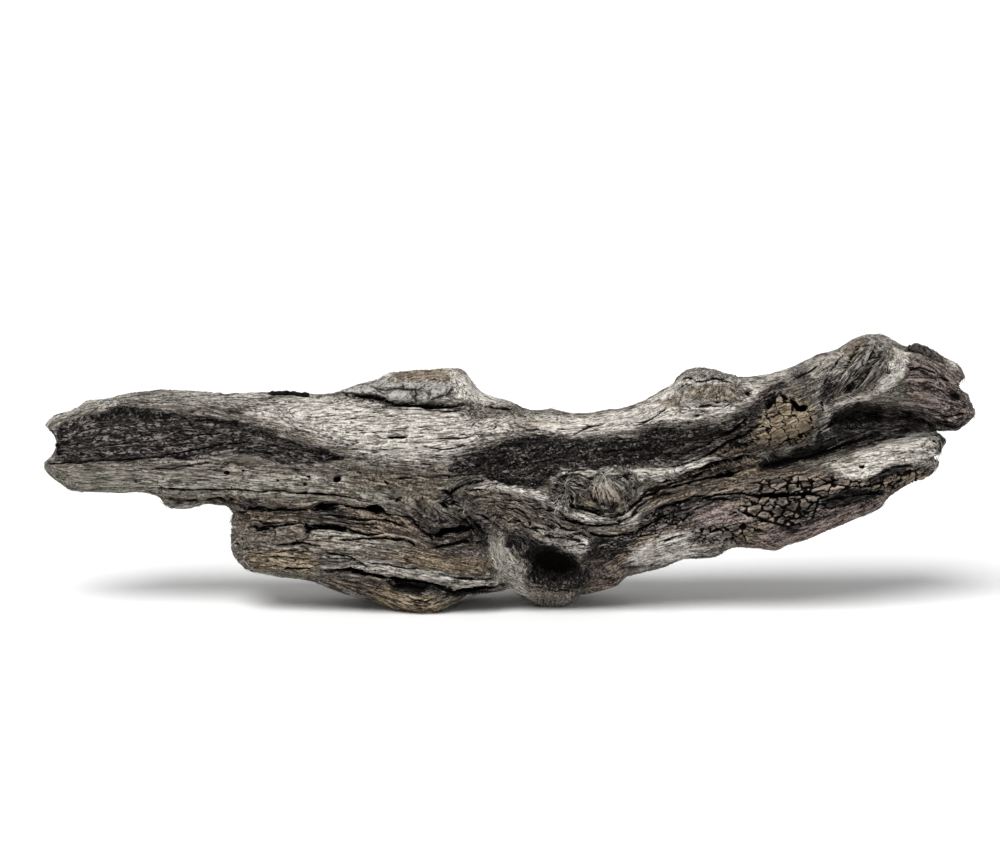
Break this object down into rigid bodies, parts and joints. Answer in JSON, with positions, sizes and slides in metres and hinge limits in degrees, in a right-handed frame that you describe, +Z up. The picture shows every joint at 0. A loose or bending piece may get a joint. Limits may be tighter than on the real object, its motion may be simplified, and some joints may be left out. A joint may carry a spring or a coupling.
{
  "type": "driftwood",
  "caption": "Long weathered forked driftwood with a rotten side slab, a broken hollow stub and scraps of bark, resting on the ground.",
  "frame": {"origin": "on the ground, below the middle of the wood's bounding box", "axes": "+X along the wood from its blunt end to its forked end, +Y from the front that shows the stub and the knots to the back, +Z up"},
  "size_m": [0.7474, 0.1284, 0.2164],
  "materials": {
    "weathered_wood": "dry, bleached grey and cream with dark stained hollows and open cracks along the grain",
    "rotten_wood": "dry, layered and crumbling, ochre to brown",
    "grey_bark": "matt blue-grey bark",
    "dark_bark": "matt near-black bark",
    "lichen_bark": "matt bark crusted with grey-green lichen"
  },
  "bodies": {
    "root": {"trunk": "weathered_wood", "side_slab": "rotten_wood", "branch_stub": "weathered_wood", "upper_limb": "weathered_wood", "lower_limb": "weathered_wood", "bark_plate": "grey_bark", "bark_sliver": "dark_bark", "end_bark": "lichen_bark"}
  },
  "joints": []
}
